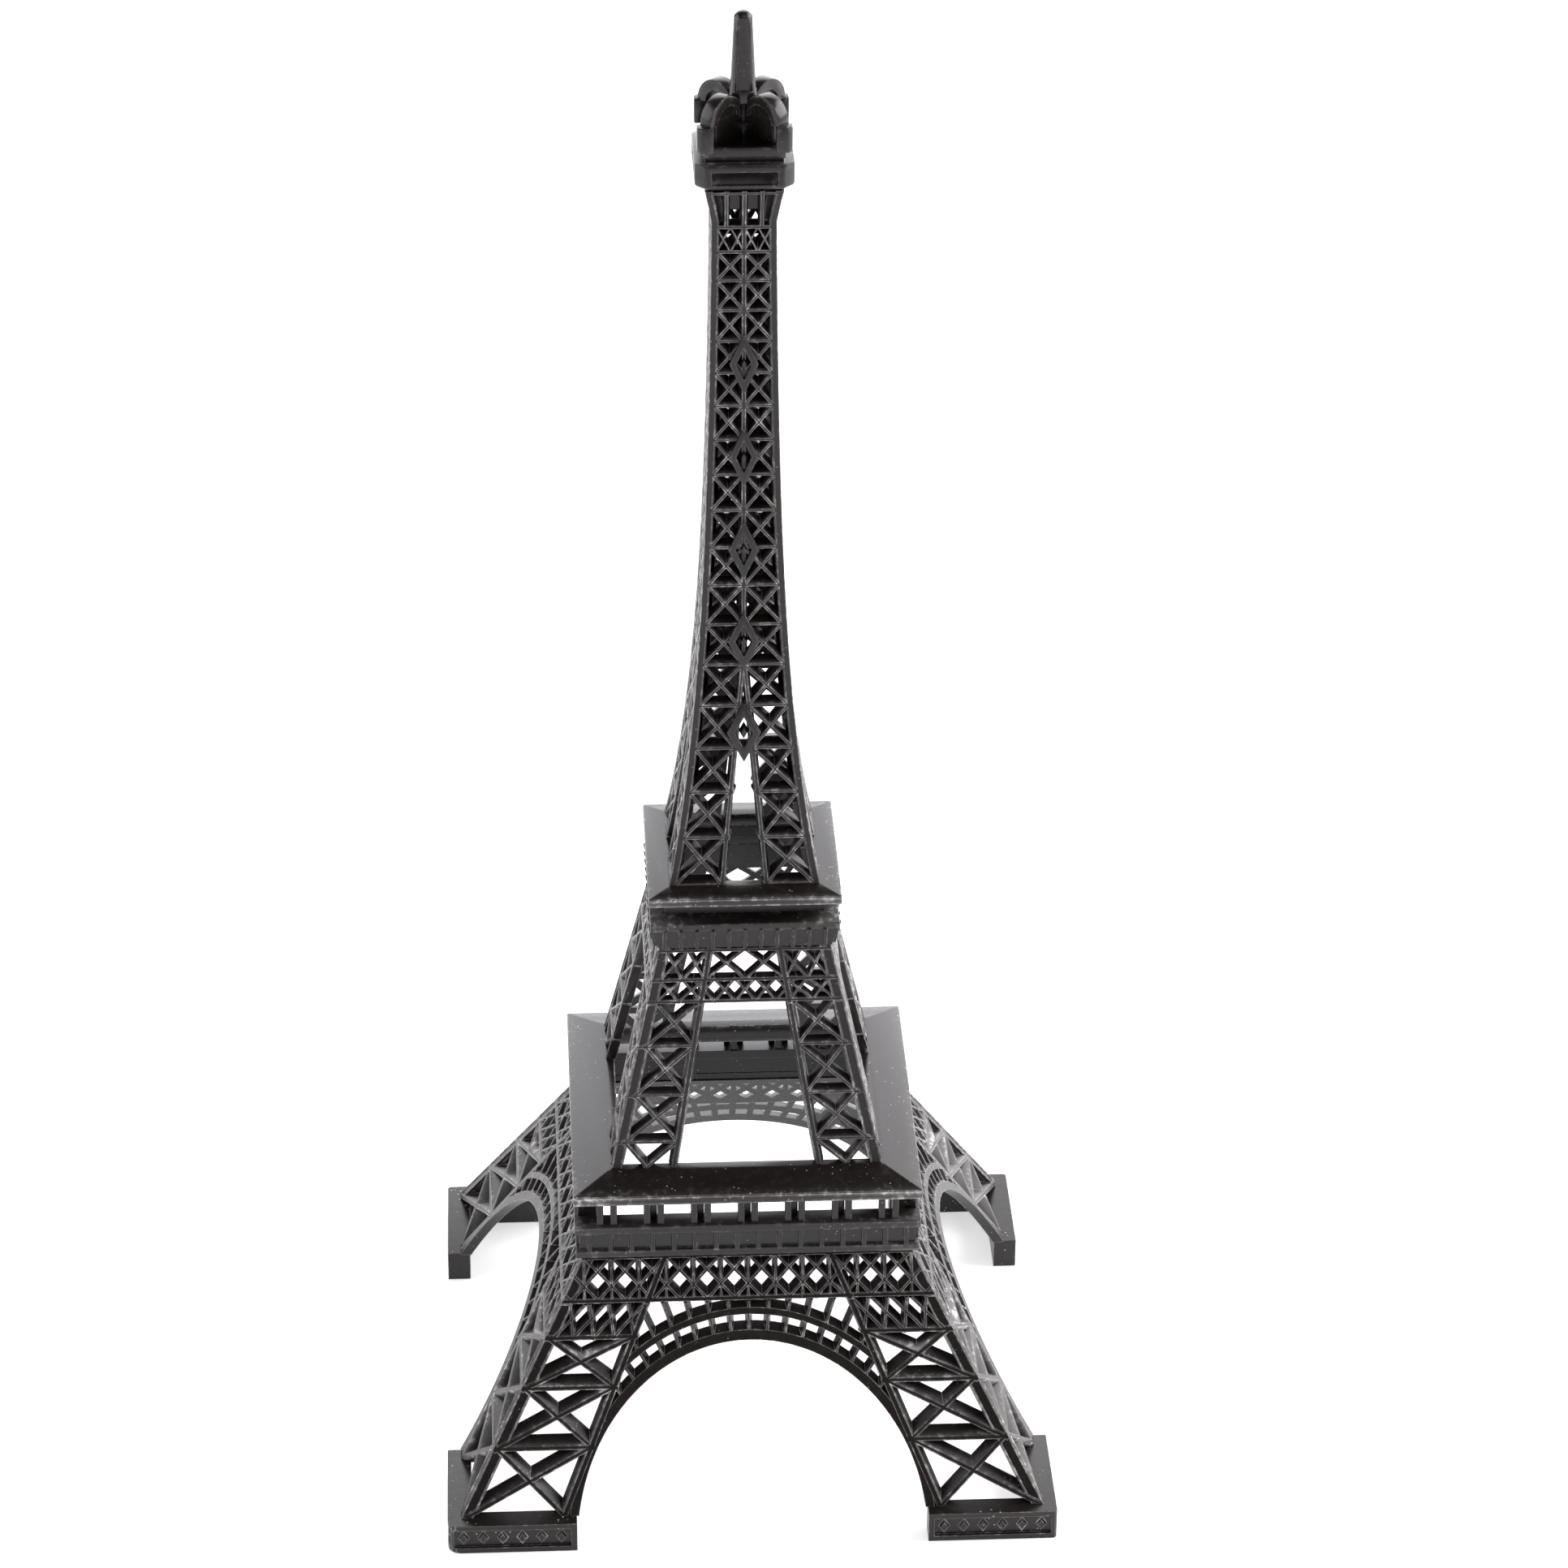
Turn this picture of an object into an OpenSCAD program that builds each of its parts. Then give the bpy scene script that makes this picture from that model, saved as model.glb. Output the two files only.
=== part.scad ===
// Miniature lattice tower for a shelf. Four leaning lattice legs stand on L-shaped feet and
// carry two floors, a curved lattice shaft and a lantern with a mast. The walls are thin
// shells: each face is a flat drawing raised through a leaning strip and mitred at the corners.
// Everything stands on z = 0, centred on the vertical axis, with the front towards -Y.

/* [Feet] */
// Width of the square that the four feet stand in
base_w = 72.3; // [71.5:0.1:73.5]
// Height of a foot
foot_h = 3.9; // [3.7:0.1:4.1]
// Length of each arm of an L-shaped foot
foot_arm = 15.3; // [15:0.1:15.8]
// Thickness of an arm
foot_t = 2.8; // [2.6:0.1:3]
// Depth of the sunk panel on the outside of an arm
foot_relief = 0.35; // [0.2:0.05:0.5]

/* [Lower storey] */
// Width across the leg faces where they meet the feet
leg_base_w = 69.2; // [68.6:0.1:70]
// Width across the leg faces under the first floor
leg_top_w = 38.8; // [38:0.1:39.4]
// Thickness of the lower walls
leg_t = 1.2; // [1:0.1:1.4]
// Width of a lattice bar in the lower storey
leg_bar = 0.85; // [0.7:0.05:1]
// Height of the underside of the girder
girder_z = 25.6; // [25.4:0.1:25.8]
// Distance between two uprights of the girder
girder_pitch = 3.24; // [3.1:0.02:3.3]
// Radius of the arch opening
arch_r = 20.7; // [20.4:0.1:21]
// Height of the centre of the arch
arch_z = 0.85; // [0.6:0.05:1.1]
// Angle between two radial bars of the arch
arch_step = 5.6; // [5.4:0.1:5.8]

/* [First floor] */
// Height of the underside of the first floor
floor1_z = 30.9; // [30.8:0.1:31.1]
// Width of the first floor at its roof edge
floor1_w = 41.2; // [41:0.1:41.6]
// Width of the well through the roof of the first floor
floor1_well = 30; // [29.6:0.1:30.4]
// Distance between two pairs of columns
column_pitch = 5.55; // [5.4:0.05:5.6]

/* [Middle storey] */
// Width across the middle storey at its base
mid_base_w = 32.1; // [31.9:0.1:32.3]
// Width across the middle storey at its top
mid_top_w = 20.2; // [20:0.1:20.4]
// Thickness of the middle walls
mid_t = 1.1; // [0.9:0.1:1.2]
// Width of a lattice bar in the middle storey
mid_bar = 0.75; // [0.6:0.05:0.8]

/* [Second floor] */
// Height of the underside of the second floor
floor2_z = 67.4; // [67.2:0.1:67.6]
// Width of the second floor at its roof edge
floor2_w = 22.5; // [22.3:0.1:22.7]

/* [Shaft] */
// Width across the shaft at its base
shaft_base_w = 17.5; // [17.3:0.1:17.7]
// Width that the shaft closes in to
shaft_neck_w = 6.7; // [6.6:0.05:6.8]
// Height over which the shaft loses most of its width
shaft_fall = 27; // [26:0.5:28]
// Thickness of the shaft walls
shaft_t = 0.9; // [0.8:0.05:1]
// Width of a lattice bar in the shaft
shaft_bar = 0.6; // [0.5:0.05:0.7]

/* [Top] */
// Width across the capital
capital_w = 11; // [10.8:0.1:11.2]
// Height of the tip of the mast
total_h = 180; // [179:0.5:181]
// Diameter of the mast at its foot
mast_d = 2.8; // [2.7:0.05:2.9]

/* [Hidden] */
metal = [0.17, 0.155, 0.155];
reach = 90;

// Lower storey
leg_levels = [foot_h, 10.95, 17.1, 22.25];
row_cells = 4;
corner_post = 1.5;
inner_post = 1;
post_base_x = 22.3;
post_top_x = 9.6;
arch_rim = 1.45;
arch_window = 1.1;
arch_upper_rim = 1.15;
girder_rail = 0.8;
girder_last = 6;

// First floor
ledge_h = 1;
frieze_h = 2.3;
deck_h = 1.15;
roof1_z = 38.4;
fascia1_h = 1.24;
roof1_rise = 1.06;
roof1_slope_w = 4.3;
frieze1_w = 39.8;
shell1_well = 36.4;
deck1_w = 41;
deck1_well = 35.6;
rib_pitch = 2.5;
rib_w = 0.63;
column_w = 0.78;
column_gap = 1.6;
deck1_z = floor1_z + ledge_h + frieze_h;
gallery1_z = deck1_z + deck_h;

// Middle storey
mid_z = roof1_z + fascia1_h + roof1_rise;
belt_z = 60.45;
belt_rail_z = 63.45;
mid_levels = [43.8, 49.5, 55.45, 60.85];
mid_corner_post = 1.3;
mid_inner_post = 0.85;
mid_post_base_x = 8.6;
mid_post_top_x = 4.05;
belt_pitch = 2.4;

// Second floor
frieze2_h = 2.7;
band2_h = 0.9;
ledge2_rise = 0.6;
rib2_pitch = 1.87;
rib2_w = 0.4;
gallery2_z = floor2_z + frieze2_h + band2_h + ledge2_rise;
roof2_z = 73.5;
fascia2_h = 1.1;
roof2_rise = 0.4;
floor2_well = 15.2;

// Shaft
shaft_z = roof2_z + fascia2_h + roof2_rise;
shaft_rows = 17;
shaft_x_top = 153.05;
slots_z = 156;
capital_z = 160.6;
flare = 0.8;
fork_row = 5;
fork_slope = 0.095;
medallion_w = [3.3, 3.3, 3.5, 3.7, 4];
medallion_h = 7.3;
medallion_z = [139.6, 128.2, 116.7, 105.3, 93.9];
medallion_t = 0.45;

// Top
capital_body_w = 8.6;
capital_h = 3.9;
slab_h = 2.8;
slab_cut = 1.15;
spigot_w = 4.6;
spigot_h = 3;
balcony_z = capital_z + capital_h;
parapet_w = 9;
parapet_h = 1.3;
post_out = 10.5;
post_in = 6.8;
post_cut = 0.5;
spring_z = 168.3;
crown_z = 171.05;
hub_z = spring_z + 1.3;
rib_t = 1.6;
web_t = 0.7;
core_w = 1.2;
core_base_w = 2.2;
core_base_h = 2.4;
mast_tip_d = 1.9;

function mix(a, b, t) = a + (b - a) * t;
function along(z, z0, z1, a, b) = mix(a, b, (z - z0) / (z1 - z0));
function leg_w(z) = along(z, foot_h, floor1_z, leg_base_w / 2, leg_top_w / 2);
function leg_post(z) = along(z, foot_h, floor1_z, post_base_x, post_top_x);
function mid_w(z) = along(z, mid_z, floor2_z, mid_base_w / 2, mid_top_w / 2);
function mid_post(z) = along(z, mid_z, floor2_z, mid_post_base_x, mid_post_top_x);
// Half width of the shaft: it closes in towards its neck and flares under the capital
function shaft_w(z) = (shaft_neck_w + (shaft_base_w - shaft_neck_w) * exp((shaft_z - z) / shaft_fall)) / 2
    + flare * pow(max(0, z - slots_z) / (capital_z - slots_z), 2);
// Height of a row of the shaft: the rows grow shorter upwards
function shaft_row(i) = mix(shaft_z, shaft_x_top, i / shaft_rows * (1 + 0.265 * (1 - i / shaft_rows)));
// Inner edge line of a shaft leg: the legs meet above the fork
function shaft_post(z) = max(0, fork_slope * (shaft_row(fork_row) - z));

// A straight lattice bar between two points of a drawing
module bar(p, q, t) {
    d = q - p;
    translate(p)
        rotate(atan2(d[1], d[0]))
            translate([-t / 2, -t / 2])
                square([norm(d) + t, t]);
}

// Two bars that cross between four corners: bottom left and right, top left and right
module cross(bl, br, tl, tr, t) {
    bar(bl, tr, t);
    bar(br, tl, t);
}

// The front quarter of the plan, so that walls meet in a mitre
module mitre() {
    linear_extrude(2 * reach)
        polygon([[0, 0], [-reach, -reach], [reach, -reach]]);
}

// A wall of the given side outline, listed as distances in front of the axis and heights
module leaning_wall(outline) {
    intersection() {
        rotate([90, 0, 0])
            linear_extrude(reach)
                children();
        rotate([90, 0, 90])
            translate([0, 0, -reach])
                linear_extrude(2 * reach)
                    polygon([for (p = outline) [-p[0], p[1]]]);
        mitre();
    }
}

// A square ring between two heights
module ring(w_out, w_in, z0, h) {
    translate([0, 0, z0])
        linear_extrude(h)
            difference() {
                square(w_out, center = true);
                square(w_in, center = true);
            }
}

// A square block whose side outline is the same all round
module square_block(outline) {
    intersection() {
        rotate([90, 0, 0])
            translate([0, 0, -reach])
                linear_extrude(2 * reach)
                    polygon(concat(
                        outline,
                        [for (i = [len(outline) - 1:-1:0]) [-outline[i][0], outline[i][1]]]
                    ));
        rotate([90, 0, 90])
            translate([0, 0, -reach])
                linear_extrude(2 * reach)
                    polygon(concat(
                        outline,
                        [for (i = [len(outline) - 1:-1:0]) [-outline[i][0], outline[i][1]]]
                    ));
    }
}

module on_four_sides() {
    for (k = [0:3])
        rotate([0, 0, 90 * k])
            children();
}

// A lozenge with its long way up
module lozenge(w, h) {
    polygon([[-w / 2, 0], [0, -h / 2], [w / 2, 0], [0, h / 2]]);
}

// One arm of a foot, with a sunk panel that holds a row of lozenges
module foot_arm_body() {
    a = base_w / 2;
    margin = 0.7;
    count = 6;
    step = (foot_arm - 2 * margin) / count;
    difference() {
        translate([a - foot_arm, -a, 0])
            cube([foot_arm, foot_t, foot_h]);
        translate([0, foot_relief - a, 0])
            rotate([90, 0, 0])
                linear_extrude(1)
                    difference() {
                        translate([a - foot_arm + margin, margin])
                            square([foot_arm - 2 * margin, foot_h - 2 * margin]);
                        for (i = [0:count - 1])
                            translate([a - foot_arm + margin + step * (i + 0.5), foot_h / 2])
                                lozenge(1.5, foot_h - 2 * margin - 0.3);
                    }
    }
}

module foot() {
    color(metal) {
        foot_arm_body();
        mirror([1, 1, 0])
            foot_arm_body();
    }
}

// Drawing of half a lower leg: corner post, inner post, three crossed bays and a row of diamonds
module leg_drawing() {
    z0 = foot_h;
    z1 = girder_z;
    polygon([
        [leg_w(z0) - corner_post, z0], [leg_w(z0) + 3, z0],
        [leg_w(z1) + 3, z1], [leg_w(z1) - corner_post, z1]
    ]);
    polygon([
        [leg_post(z0) - inner_post / 2, z0], [leg_post(z0) + inner_post / 2, z0],
        [leg_post(z1) + inner_post / 2, z1], [leg_post(z1) - inner_post / 2, z1]
    ]);
    for (i = [1:3])
        bar([leg_post(leg_levels[i]), leg_levels[i]], [leg_w(leg_levels[i]) - 1, leg_levels[i]], leg_bar);
    for (i = [0:2]) {
        za = leg_levels[i];
        zb = leg_levels[i + 1];
        cross([leg_post(za), za], [leg_w(za) - 1, za], [leg_post(zb), zb], [leg_w(zb) - 1, zb], leg_bar);
    }
    za = leg_levels[3];
    zb = girder_z + girder_rail / 2;
    for (i = [0:row_cells - 1]) {
        p = i / row_cells;
        q = (i + 1) / row_cells;
        cross(
            [mix(leg_post(za), leg_w(za) - 1, p), za], [mix(leg_post(za), leg_w(za) - 1, q), za],
            [mix(leg_post(zb), leg_w(zb) - 1, p), zb], [mix(leg_post(zb), leg_w(zb) - 1, q), zb],
            leg_bar * 0.7
        );
    }
}

module leg_side() {
    z0 = foot_h;
    z1 = girder_z;
    leaning_wall([[leg_w(z0), z0], [leg_w(z1), z1], [leg_w(z1) - leg_t, z1], [leg_w(z0) - leg_t, z0]])
        leg_drawing();
}

module leg() {
    color(metal) {
        leg_side();
        mirror([1, 1, 0])
            leg_side();
    }
}

// Drawing of the arch: two curved rims with windows between them, and radial bars
module arch_drawing() {
    z0 = foot_h;
    z1 = girder_z;
    r1 = arch_r + arch_rim;
    r2 = r1 + arch_window;
    r3 = r2 + arch_upper_rim;
    intersection() {
        polygon([
            [inner_post / 2 - leg_post(z0), z0], [leg_post(z0) - inner_post / 2, z0],
            [leg_post(z1) - inner_post / 2, z1], [inner_post / 2 - leg_post(z1), z1]
        ]);
        translate([0, arch_z])
            union() {
                difference() {
                    circle(r1, $fn = 180);
                    circle(arch_r, $fn = 180);
                }
                difference() {
                    circle(r3, $fn = 180);
                    circle(r2, $fn = 180);
                }
                for (i = [-9:9])
                    rotate(-arch_step * i)
                        translate([-leg_bar / 2, arch_r + arch_rim / 2])
                            square([leg_bar, 9]);
            }
    }
}

module arch() {
    z0 = foot_h;
    z1 = girder_z;
    color(metal)
        leaning_wall([[leg_w(z0), z0], [leg_w(z1), z1], [leg_w(z1) - leg_t, z1], [leg_w(z0) - leg_t, z0]])
            arch_drawing();
}

// Drawing of the girder: rails, uprights, leg posts and diagonals that cross a third of the way down
module girder_drawing() {
    z0 = girder_z;
    z1 = floor1_z;
    rail_z = z0 + girder_rail / 2;
    top_z = z1 - girder_rail / 2;
    thin = leg_bar * 0.65;
    translate([-reach, z0])
        square([2 * reach, girder_rail]);
    translate([-reach, z1 - girder_rail])
        square([2 * reach, girder_rail]);
    for (i = [-girder_last:girder_last])
        translate([i * girder_pitch - thin / 2, z0])
            square([thin, z1 - z0]);
    for (i = [-girder_last - 2:girder_last + 1]) {
        m = (i + 0.5) * girder_pitch;
        for (s = [-1, 1])
            bar([m, rail_z], [m + s * girder_pitch * 1.5, top_z], thin);
    }
    for (s = [0, 1])
        mirror([s, 0]) {
            bar([leg_post(z0), z0], [leg_post(z1), z1], inner_post);
            polygon([
                [leg_w(z0) - corner_post, z0], [leg_w(z0) + 3, z0],
                [leg_w(z1) + 3, z1], [leg_w(z1) - corner_post, z1]
            ]);
        }
}

module girder() {
    z0 = girder_z;
    z1 = floor1_z;
    color(metal)
        leaning_wall([[leg_w(z0), z0], [leg_w(z1), z1], [leg_w(z1) - leg_t, z1], [leg_w(z0) - leg_t, z0]])
            girder_drawing();
}

// First floor below the gallery: ledge, ribbed frieze and the deck that the columns stand on
module floor1_frieze() {
    color(metal) {
        ring(40.7, shell1_well, floor1_z, ledge_h);
        ring(frieze1_w, shell1_well, floor1_z + ledge_h, frieze_h);
        ring(deck1_w, deck1_well, deck1_z, deck_h);
        on_four_sides()
            for (i = [-7.5:7.5])
                translate([i * rib_pitch - rib_w / 2, -40.7 / 2, floor1_z + ledge_h])
                    cube([rib_w, 1, frieze_h]);
    }
}

module floor1_column() {
    translate([-column_w / 2, 0, gallery1_z])
        cube([column_w, column_w, roof1_z - gallery1_z]);
}

// Pairs of columns along the outer edge and single posts along the inner edge of the deck
module floor1_columns() {
    color(metal)
        on_four_sides() {
            for (i = [-3:3])
                for (s = [-1, 1])
                    translate([i * column_pitch + s * column_gap / 2, -20.1, 0])
                        floor1_column();
            for (i = [-2:2])
                translate([i * column_pitch, -deck1_well / 2 - column_w - 0.15, 0])
                    floor1_column();
        }
}

// Low hipped roof of the first floor, open over the well
module floor1_roof() {
    h = floor1_w / 2;
    top = roof1_z + fascia1_h;
    color(metal)
        difference() {
            square_block([[h, roof1_z], [h, top], [h - roof1_slope_w, top + roof1_rise]]);
            translate([-floor1_well / 2, -floor1_well / 2, roof1_z - 1])
                cube([floor1_well, floor1_well, 5]);
        }
}

// Drawing of half a leg of the middle storey
module upper_leg_drawing() {
    z0 = mid_z;
    z1 = belt_z;
    polygon([
        [mid_w(z0) - mid_corner_post, z0], [mid_w(z0) + 3, z0],
        [mid_w(z1) + 3, z1], [mid_w(z1) - mid_corner_post, z1]
    ]);
    bar([mid_post(z0), z0], [mid_post(z1), z1], mid_inner_post);
    for (i = [0:2])
        bar([mid_post(mid_levels[i]), mid_levels[i]], [mid_w(mid_levels[i]) - 1, mid_levels[i]], mid_bar);
    for (i = [0:2]) {
        za = mid_levels[i];
        zb = mid_levels[i + 1];
        cross([mid_post(za), za], [mid_w(za) - 1, za], [mid_post(zb), zb], [mid_w(zb) - 1, zb], mid_bar);
    }
    za = mid_levels[0];
    foot = (mid_post(mid_z) + mid_w(mid_z) - 1) / 2;
    bar([mid_post(za), za], [foot, mid_z], mid_bar);
    bar([mid_w(za) - 1, za], [foot, mid_z], mid_bar);
}

module upper_leg_side() {
    z0 = mid_z;
    z1 = belt_z;
    leaning_wall([[mid_w(z0), z0], [mid_w(z1), z1], [mid_w(z1) - mid_t, z1], [mid_w(z0) - mid_t, z0]])
        upper_leg_drawing();
}

module upper_leg() {
    color(metal) {
        upper_leg_side();
        mirror([1, 1, 0])
            upper_leg_side();
    }
}

// Drawing of the belt under the second floor: two rows of crossed bars between rails
module upper_belt_drawing() {
    z0 = belt_z;
    z1 = floor2_z;
    rail = 0.8;
    low = z0 + rail / 2;
    top = z1 - rail / 2;
    thin = mid_bar * 0.8;
    for (z = [low, belt_rail_z, top])
        translate([-reach, z - rail / 2])
            square([2 * reach, rail]);
    for (i = [-2:2])
        cross([(i - 0.5) * belt_pitch, low], [(i + 0.5) * belt_pitch, low],
            [(i - 0.5) * belt_pitch, belt_rail_z], [(i + 0.5) * belt_pitch, belt_rail_z], thin);
    for (s = [0, 1])
        mirror([s, 0]) {
            cross(
                [0, belt_rail_z], [mid_post(belt_rail_z), belt_rail_z],
                [0, top], [mid_post(top), top], thin
            );
            for (i = [0:1]) {
                p = i / 2;
                q = (i + 1) / 2;
                for (r = [[low, belt_rail_z], [belt_rail_z, top]])
                    cross(
                        [mix(mid_post(r[0]), mid_w(r[0]) - 1, p), r[0]],
                        [mix(mid_post(r[0]), mid_w(r[0]) - 1, q), r[0]],
                        [mix(mid_post(r[1]), mid_w(r[1]) - 1, p), r[1]],
                        [mix(mid_post(r[1]), mid_w(r[1]) - 1, q), r[1]],
                        thin
                    );
            }
            bar([mid_post(z0), z0], [mid_post(z1), z1], mid_inner_post);
            polygon([
                [mid_w(z0) - mid_corner_post, z0], [mid_w(z0) + 3, z0],
                [mid_w(z1) + 3, z1], [mid_w(z1) - mid_corner_post, z1]
            ]);
        }
}

module upper_belt() {
    z0 = belt_z;
    z1 = floor2_z;
    color(metal)
        leaning_wall([[mid_w(z0), z0], [mid_w(z1), z1], [mid_w(z1) - mid_t, z1], [mid_w(z0) - mid_t, z0]])
            upper_belt_drawing();
}

// Second floor below the gallery: a frieze that leans outwards, ribs, and a band with a sloping ledge
module floor2_frieze() {
    band_z = floor2_z + frieze2_h;
    band = 22.1 / 2;
    color(metal)
        difference() {
            union() {
                square_block([[20.3 / 2, floor2_z], [21.8 / 2, band_z]]);
                square_block([[band, band_z], [band, band_z + band2_h], [9.3, gallery2_z]]);
                intersection() {
                    square_block([[20.9 / 2, floor2_z], [22.1 / 2, band_z]]);
                    on_four_sides()
                        for (i = [-5:5])
                            translate([i * rib2_pitch - rib2_w / 2, -12, floor2_z])
                                cube([rib2_w, 3, frieze2_h]);
                }
            }
            translate([-9, -9, floor2_z - 1])
                cube([18, 18, 6]);
        }
}

module floor2_gallery_wall() {
    color(metal)
        ring(18.6, 16, gallery2_z, roof2_z - gallery2_z);
}

module floor2_roof() {
    h = floor2_w / 2;
    top = roof2_z + fascia2_h;
    color(metal)
        difference() {
            square_block([[h, roof2_z], [h, top], [h - 2.4, top + roof2_rise]]);
            translate([-floor2_well / 2, -floor2_well / 2, roof2_z - 1])
                cube([floor2_well, floor2_well, 5]);
        }
}

// Side outline of the shaft between two distances from its outer face
function shaft_outline(out, depth) = concat(
    [for (i = [0:14]) let (z = mix(shaft_z, slots_z, i / 14)) [shaft_w(z) + out, z]],
    [for (i = [1:3]) let (z = mix(slots_z, capital_z, i / 3)) [shaft_w(z) + out, z]],
    [for (i = [3:-1:1]) let (z = mix(slots_z, capital_z, i / 3)) [shaft_w(z) - depth, z]],
    [for (i = [14:-1:0]) let (z = mix(shaft_z, slots_z, i / 14)) [shaft_w(z) - depth, z]]
);

// Drawing of one half of a shaft face, to the right of its centre line
module shaft_half_drawing() {
    edge = 0.8;
    steps = 17;
    heights = [for (i = [0:steps]) mix(shaft_z, capital_z, i / steps)];
    polygon(concat(
        [for (z = heights) [shaft_w(z) + 1, z]],
        [for (i = [steps:-1:0]) [shaft_w(heights[i]) - edge, heights[i]]]
    ));
    for (i = [0:shaft_rows - 1]) {
        za = shaft_row(i);
        zb = shaft_row(i + 1);
        cross(
            [shaft_post(za), za], [shaft_w(za) - 0.6, za],
            [shaft_post(zb), zb], [shaft_w(zb) - 0.6, zb], shaft_bar
        );
        bar([shaft_post(za), za], [shaft_w(za) - 0.6, za], shaft_bar);
    }
    z2 = shaft_x_top;
    half = (shaft_w(z2) - 0.6) / 2;
    for (x = [0, half])
        cross([x, z2], [x + half, z2], [x, slots_z], [x + half, slots_z], shaft_bar * 0.7);
    bar([0, z2], [shaft_w(z2) - 0.6, z2], shaft_bar);
    translate([0, slots_z - 0.3])
        square([3.6, 0.6]);
    translate([0, capital_z - 0.5])
        square([4.4, 0.5]);
    translate([1.96 - 0.3, slots_z])
        square([0.6, capital_z - slots_z]);
    bar([shaft_post(shaft_z), shaft_z], [0, shaft_row(fork_row)], 0.7);
}

module shaft_face() {
    fork_z = shaft_row(fork_row);
    color(metal)
        leaning_wall(shaft_outline(0, shaft_t)) {
            union() {
                shaft_half_drawing();
                mirror([1, 0])
                    shaft_half_drawing();
                translate([-0.35, fork_z])
                    square([0.7, capital_z - fork_z]);
                for (i = [3, 4])
                    translate([-shaft_post(shaft_row(i)), shaft_row(i) - shaft_bar / 2])
                        square([2 * shaft_post(shaft_row(i)), shaft_bar]);
            }
        }
}

// A raised lozenge frame with a small lozenge in it, laid on the front of the shaft
module medallion(i) {
    w = medallion_w[i];
    color(metal)
        leaning_wall(shaft_outline(medallion_t, 0))
            translate([0, medallion_z[i]]) {
                difference() {
                    lozenge(w, medallion_h);
                    lozenge(w * 0.55, medallion_h * 0.55);
                }
                lozenge(w * 0.25, medallion_h * 0.25);
            }
}

// A square with its corners cut off, raised between two heights
module cut_square(w, cut, z0, h) {
    a = w / 2;
    b = a - cut;
    translate([0, 0, z0])
        linear_extrude(h)
            polygon([[b, -a], [a, -b], [a, b], [b, a], [-b, a], [-a, b], [-a, -b], [-b, -a]]);
}

// Box at the head of the shaft: a body in a wider slab with a sunk slot on each side, over a
// spigot that closes the inside of the shaft's top
module capital_box() {
    b = capital_body_w;
    slab_z = capital_z + 0.6;
    face = -capital_w / 2;
    color(metal)
        difference() {
            union() {
                translate([-b / 2, -b / 2, capital_z])
                    cube([b, b, capital_h]);
                cut_square(capital_w, slab_cut, slab_z, slab_h);
                translate([-spigot_w / 2, -spigot_w / 2, capital_z - spigot_h])
                    cube([spigot_w, spigot_w, spigot_h + 0.2]);
            }
            on_four_sides()
                translate([-3.6, 0, slab_z + 0.6])
                    rotate([90, 0, 90])
                        linear_extrude(7.2)
                            polygon([[face - 1, 0], [face + 0.4, 0], [face + 1.1, 1.45], [face - 1, 1.45]]);
        }
}

// Balcony on the capital: a floor, a parapet set back from the slab and four corner posts
module balcony() {
    w = parapet_w;
    well = w - 1.8;
    p = post_out / 2;
    color(metal) {
        difference() {
            translate([-w / 2, -w / 2, balcony_z])
                cube([w, w, parapet_h]);
            translate([-well / 2, -well / 2, balcony_z + 0.4])
                cube([well, well, 2]);
        }
        intersection() {
            cut_square(post_out, post_cut, balcony_z + 0.9, spring_z - balcony_z - 0.9);
            on_four_sides()
                translate([post_in / 2, -p, balcony_z])
                    cube([p - post_in / 2, p - post_in / 2, 6]);
        }
    }
}

// Four round ribs that rise from the corner posts, bulge and dip to a hub under the mast,
// each closed towards the core by a thin web
module lantern_ribs() {
    floor_z = balcony_z + 0.4;
    outer = [for (a = [0:7:133]) [3.4 + 2.65 * cos(a), spring_z + 2.85 * sin(a)]];
    inner = [for (a = [126:-7:0]) [3.1 + 1.75 * cos(a), spring_z + 1.7 * sin(a)]];
    base_r = core_base_w / 2;
    step_z = floor_z + core_base_h;
    color(metal)
        on_four_sides()
            rotate([0, 0, 45]) {
                translate([0, rib_t / 2, 0])
                    rotate([90, 0, 0])
                        linear_extrude(rib_t)
                            polygon(concat(outer, [[1.45, crown_z], [0, crown_z], [0, hub_z]], inner));
                translate([0, web_t / 2, 0])
                    rotate([90, 0, 0])
                        linear_extrude(web_t)
                            polygon([
                                [base_r, floor_z], [4.7, floor_z], [4.7, spring_z], [5.3, spring_z],
                                [4.7, spring_z + 1.5], [3.1, spring_z + 2.1],
                                [core_w / 2, hub_z + 0.3], [core_w / 2, step_z], [base_r, step_z]
                            ]);
            }
}

// Post in the lantern, set cornerwise on a wider base
module lantern_core() {
    floor_z = balcony_z + 0.4;
    b = core_base_w;
    color(metal)
        rotate([0, 0, 45]) {
            translate([-b / 2, -b / 2, floor_z])
                cube([b, b, core_base_h]);
            translate([-core_w / 2, -core_w / 2, floor_z])
                cube([core_w, core_w, hub_z - floor_z]);
        }
}

module mast() {
    tip_z = total_h - mast_tip_d / 2;
    color(metal)
        rotate_extrude($fn = 48)
            intersection() {
                union() {
                    polygon([[0, crown_z], [mast_d / 2, crown_z], [mast_tip_d / 2, tip_z], [0, tip_z]]);
                    translate([0, tip_z])
                        circle(mast_tip_d / 2, $fn = 48);
                }
                translate([0, crown_z])
                    square([mast_d, total_h - crown_z]);
            }
}

module turned(k) {
    rotate([0, 0, 90 * k])
        children();
}

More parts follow.
